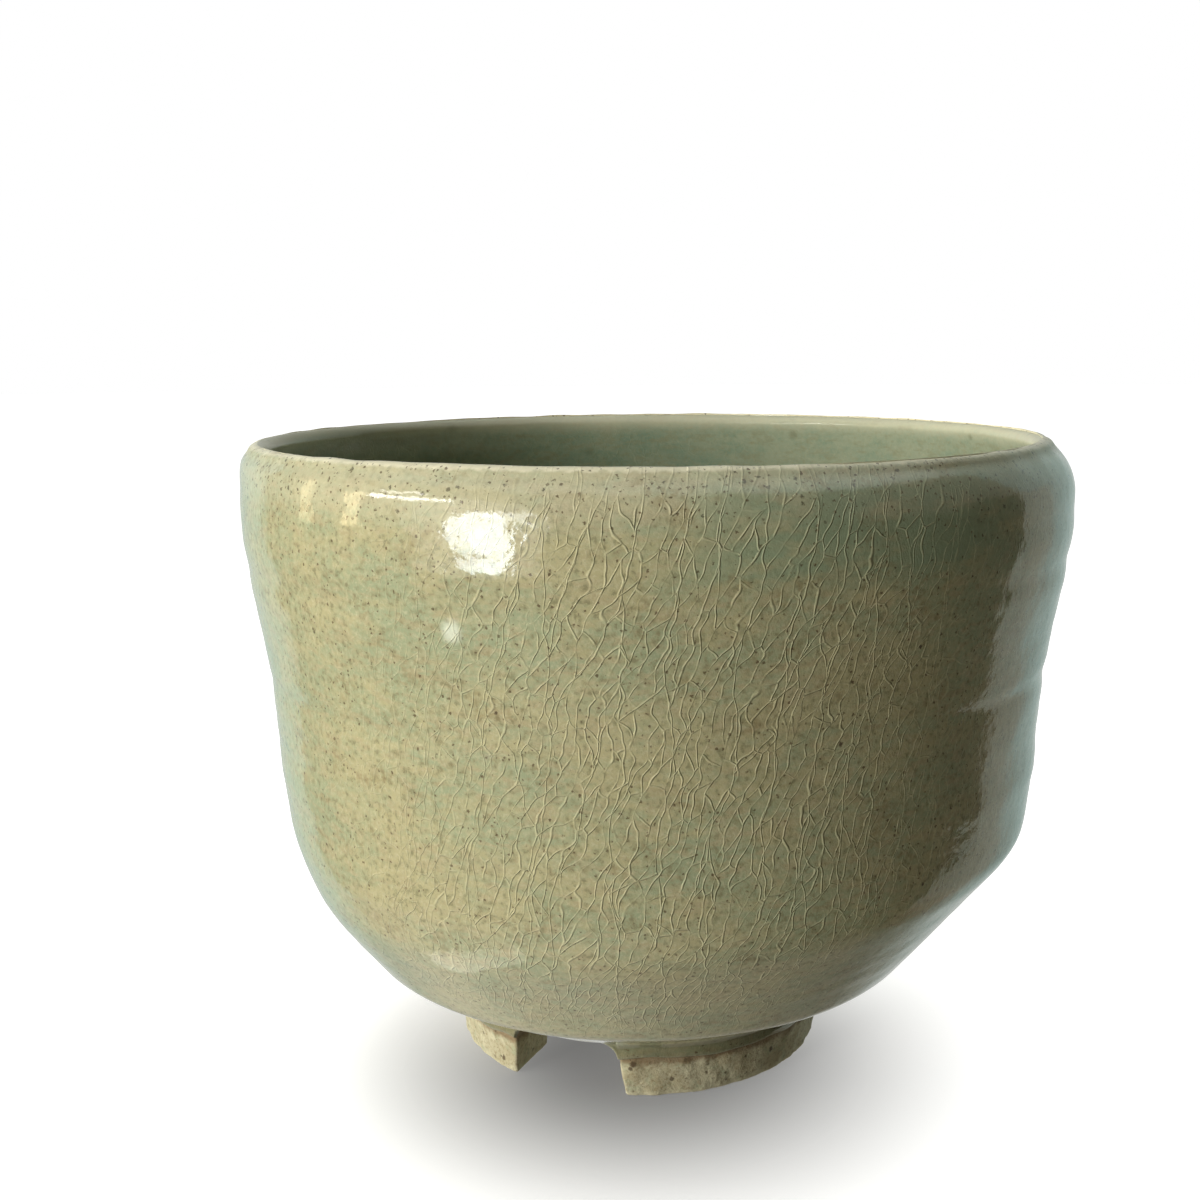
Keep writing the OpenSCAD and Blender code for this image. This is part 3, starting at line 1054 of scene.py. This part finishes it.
def floor_material():
    """White floor with a soft shade painted under the bowl, a little to the near left."""
    m, g = material("pale_floor")
    shade_at = Matrix.Rotation(VIEW_A, 3, "Z") @ Vector(SHADE_AT)
    reach = g.length(g.vec("SUBTRACT", g.millimetres(), tuple(shade_at)))
    lit = g.ramp(reach, 6, 66, 0.15, 1.0)
    diffuse = g.add("BsdfDiffuse", {"Color": g.mix(lit, (0, 0, 0, 1), (0.85, 0.85, 0.85, 1))})
    glow = g.add("Emission", {"Color": (1, 1, 1, 1), "Strength": g.times(lit, FLOOR_GLOW)})
    both = g.add("AddShader", {0: diffuse.outputs[0], 1: glow.outputs[0]})
    g.put(g.add("OutputMaterial").inputs["Surface"], both.outputs[0])
    return m


def stage_mesh(name, points, faces, look):
    """A mesh for the stage, from points in metres."""
    mesh = bpy.data.meshes.new(name)
    mesh.from_pydata(points, [], faces)
    mesh.materials.append(look)
    obj = bpy.data.objects.new(name, mesh)
    bpy.context.scene.collection.objects.link(obj)
    return obj


floor_look = floor_material()
floor_angles = np.linspace(0, FULL_TURN, FLOOR_CORNERS, endpoint=False)
floor_edge = [(FLOOR_R * math.cos(a), FLOOR_R * math.sin(a), 0) for a in floor_angles]
floor = stage_mesh("floor", floor_edge, [tuple(range(FLOOR_CORNERS))], floor_look)
# What the bowl sees of the floor is in the world's light, so only the camera sees this
floor.visible_diffuse = False
floor.visible_glossy = False
floor.visible_shadow = False

# ---------------------------------------------------------------- light

# Strengths of the parts of the room
ROOM_FRONT = 0.06
ROOM_LEFT = 0.05
ROOM_TOP = 0.14
ROOM_RIGHT = 0.22
ROOM_LOW_LEFT = 0.62
CEILING = 1.1
BACKDROP = 0.67
OPENING_NEAR = 6.0
OPENING_FAR = 3.6

world = bpy.data.worlds.new("studio")
bpy.context.scene.world = world
world.use_nodes = True
g = Graph(world.node_tree)
x, y, z = g.split(g.add("TexCoord").outputs["Generated"])
# Azimuth from the camera's side of the bowl, positive to the camera's right
ahead = g.toward(x, y, VIEW_A - math.pi / 2)
across = g.toward(x, y, VIEW_A)
azimuth = g.times(g.math("ARCTAN2", across, ahead), 180 / math.pi)
aside = g.math("ABSOLUTE", azimuth)
elevation = g.times(g.math("ARCSINE", z), 180 / math.pi)

path = g.add("LightPath").outputs
camera_ray = path["Is Camera Ray"]
diffuse_ray = path["Is Diffuse Ray"]

# White backdrop behind the bowl, which reaches further forward below its horizon
right_edge = g.total(g.ramp(elevation, -23, -27, 111, 97), g.ramp(elevation, -38, -55, 0.0, 16.0))
behind = g.math(
    "MAXIMUM",
    g.ramp(g.math("SUBTRACT", azimuth, right_edge), -1.0, 1.5),
    g.ramp(g.times(azimuth, -1), 125, 129))
behind = g.times(
    behind, g.ramp(elevation, 50, 34), g.ramp(elevation, -52, -30, 0.15, 1.0), g.ramp(elevation, -68, -56),
    BACKDROP)
# Dim room in front of it, lighter to the left and above, with a dark stretch at the right
dark = g.times(g.band(azimuth, 84, 125, 10), g.band(elevation, -52, 7, 2), g.math("SUBTRACT", 1.0, behind))
dark = g.times(dark, g.math("MULTIPLY_ADD", diffuse_ray, -0.6, 1.0))
room = g.total(
    ROOM_FRONT,
    g.times(g.ramp(azimuth, -15, -80), ROOM_LEFT),
    g.times(g.ramp(elevation, 5, 40), ROOM_TOP),
    g.times(g.band(azimuth, 60, 125, 20), g.band(elevation, 9, 60, 2), ROOM_RIGHT),
    g.times(g.ramp(across, 0.75, -0.5), g.ramp(elevation, -24, -54), ROOM_LOW_LEFT),
)
room = g.times(room, g.math("SUBTRACT", 1.0, g.times(dark, 0.8)))
light = g.math("MAXIMUM", behind, room)
# Two narrow warm openings at the far left
warm = g.total(
    g.times(g.band(azimuth, -87, -82.5, 0.8), g.band(elevation, -4, 14, 2), OPENING_NEAR),
    g.times(g.band(azimuth, -106, -102, 0.8), g.band(elevation, -4, 14, 2), OPENING_FAR))
# Flags above and to the right keep most of that light off the glaze's own colour
flags = g.math("MAXIMUM", g.ramp(elevation, 10, 35, 1.0, 0.35), g.ramp(aside, 125, 145))
flags = g.times(flags, g.ramp(azimuth, 50, 90, 1.0, 0.9))
light = g.times(light, g.math("SUBTRACT", 1.0, g.times(diffuse_ray, g.math("SUBTRACT", 1.0, flags))))
# Bright ceiling, seen only in the glaze of the lip
overhead = g.times(
    path["Is Glossy Ray"], g.ramp(elevation, 34, 48), g.ramp(azimuth, -60, 60, 0.8, 1.3), CEILING)
tint = g.mix(g.ramp(across, -0.3, 0.8), (1.0, 0.98, 0.86, 1), (1.0, 0.9, 0.74, 1))
far_tint = g.mix(g.ramp(aside, 144, 170), (0.62, 1.0, 1.02, 1), (0.96, 1.0, 1.02, 1))
tint = g.mix(behind, tint, far_tint)
tint = g.mix(dark, tint, (1.0, 0.72, 0.5, 1))
tint = g.mix(g.math("DIVIDE", overhead, g.total(overhead, light, 0.001)), tint, (0.88, 1.0, 1.0, 1))
tint = g.mix(g.math("DIVIDE", warm, g.total(warm, light, 0.001)), tint, (1.0, 0.8, 0.45, 1))
# The camera itself sees plain white
tint = g.mix(camera_ray, tint, (1, 1, 1, 1))
strength = g.blend(camera_ray, g.total(light, overhead, warm), 1.0)
sky = g.add("Background", {"Color": tint, "Strength": strength})
g.put(g.add("OutputWorld").inputs["Surface"], sky.outputs[0])

SOFTBOX_DISTANCE = 0.9
# Height in metres that the softboxes face
SOFTBOX_AIM = 0.08


def softbox(name, azimuth, elevation, width, height, radiance, colour, seen):
    """A light that faces the bowl's lip; angles in degrees, azimuth from the camera's side."""
    data = bpy.data.lights.new(name, "AREA")
    data.shape = "ELLIPSE" if seen == "glossy" else "RECTANGLE"
    data.size = 2 * SOFTBOX_DISTANCE * math.tan(math.radians(width / 2))
    data.size_y = 2 * SOFTBOX_DISTANCE * math.tan(math.radians(height / 2))
    data.energy = radiance * data.size * data.size_y * math.pi
    data.color = colour
    obj = bpy.data.objects.new(name, data)
    a, e = VIEW_A + math.radians(azimuth), math.radians(elevation)
    at = SOFTBOX_DISTANCE * np.array([math.cos(e) * math.sin(a), -math.cos(e) * math.cos(a), math.sin(e)])
    at[2] += SOFTBOX_AIM
    obj.matrix_world = (
        Matrix.Translation(at.tolist())
        @ Matrix.Rotation(a, 4, "Z")
        @ Matrix.Rotation(math.pi / 2 - e, 4, "X")
    )
    bpy.context.scene.collection.objects.link(obj)
    obj.visible_diffuse = seen == "diffuse"
    obj.visible_glossy = seen == "glossy"
    obj.visible_camera = False


# Windows that show as highlights on the glaze
softbox("window", -42.5, -3, 20, 17, 8, (0.9, 1.0, 1.03), seen="glossy")
softbox("window_near", -38.5, -4, 11, 17, 4, (0.92, 1.0, 1.0), seen="glossy")
softbox("window_far", -46, -1, 13, 11, 3, (0.95, 1.0, 0.97), seen="glossy")
softbox("window_corner", -33, 5, 13, 3.5, 6, (0.95, 1.0, 0.97), seen="glossy")
softbox("table_glow", -90, -60, 38, 12, 0.9, (1.0, 0.98, 0.85), seen="glossy")
softbox("window_glow", -44, 0, 40, 34, 1.2, (1.0, 1.0, 0.92), seen="glossy")
softbox("window_high", -64, 12, 28, 5, 12, (1.0, 0.98, 0.9), seen="glossy")
softbox("window_top", -67, 20, 14, 3, 8, (1.0, 0.98, 0.9), seen="glossy")
# Soft light from the same side
softbox("key_front", -47, 8, 15, 18, 22.8, (1.0, 0.99, 0.95), seen="diffuse")
softbox("key_left", -70, 10, 26, 18, 9.8, (1.0, 0.99, 0.95), seen="diffuse")
softbox("overhead", -100, 74, 30, 30, 1.8, (0.93, 1.0, 1.0), seen="diffuse")

# A card off camera at the left keeps the window off the near half of the inside.
# Its lower edge is an arc just over the lip, and it widens towards its upper one; metres and degrees
CARD_FROM, CARD_TO = -150, -99
CARD_POINTS = 12
CARD_R = 0.066
CARD_LOW_Z, CARD_HIGH_Z = 0.0925, 0.135
CARD_WIDENS = 1.25

card_angles = np.radians(np.linspace(CARD_FROM, CARD_TO, CARD_POINTS)) + VIEW_A
low_edge = [(CARD_R * math.sin(a), -CARD_R * math.cos(a), CARD_LOW_Z) for a in card_angles]
high_edge = [(CARD_WIDENS * x, CARD_WIDENS * y, CARD_HIGH_Z) for x, y, _ in low_edge]
card_faces = [(k, k + 1, k + CARD_POINTS + 1, k + CARD_POINTS) for k in range(CARD_POINTS - 1)]
card = stage_mesh("card", low_edge + high_edge, card_faces, floor_look)
card.visible_camera = False
card.visible_diffuse = False
card.visible_glossy = False

bpy.context.scene.view_settings.view_transform = "Standard"
